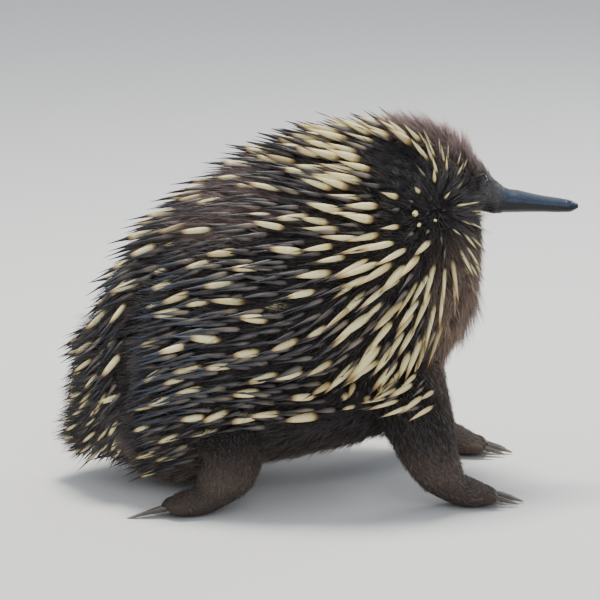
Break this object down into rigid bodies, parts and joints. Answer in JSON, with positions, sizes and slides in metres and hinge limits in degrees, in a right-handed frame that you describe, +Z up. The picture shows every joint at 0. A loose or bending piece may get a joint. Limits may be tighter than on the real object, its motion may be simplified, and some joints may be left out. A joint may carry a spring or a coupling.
{
  "type": "echidna",
  "caption": "Life-size echidna crouched on its haunches with its chest raised and long beak held level; spines over back, sides and rump, short legs with digging claws.",
  "frame": {"origin": "on the floor, under the middle of the animal's bounding box", "axes": "+X towards the tip of the beak, +Y towards the animal's left side, +Z up"},
  "size_m": [0.3603, 0.2284, 0.2652],
  "materials": {
    "spiny_coat": "dark brown-black coat under cream spines with black tips",
    "leg_fur": "short dark brown fur",
    "beak_skin": "smooth bare blue-black skin, a little glossy",
    "eye": "wet black",
    "ear_skin": "matt dark skin"
  },
  "bodies": {
    "root": {"beak": "beak_skin", "ear_left": "ear_skin", "ear_right": "ear_skin", "eye_left": "eye", "eye_right": "eye", "forefoot_left": "leg_fur", "forefoot_right": "leg_fur", "foreleg_left": "leg_fur", "foreleg_right": "leg_fur", "head": "spiny_coat", "hindfoot_left": "leg_fur", "hindfoot_right": "leg_fur", "hindleg_left": "leg_fur", "hindleg_right": "leg_fur", "neck": "spiny_coat", "rump": "spiny_coat", "tail": "spiny_coat", "torso": "spiny_coat"}
  },
  "joints": []
}
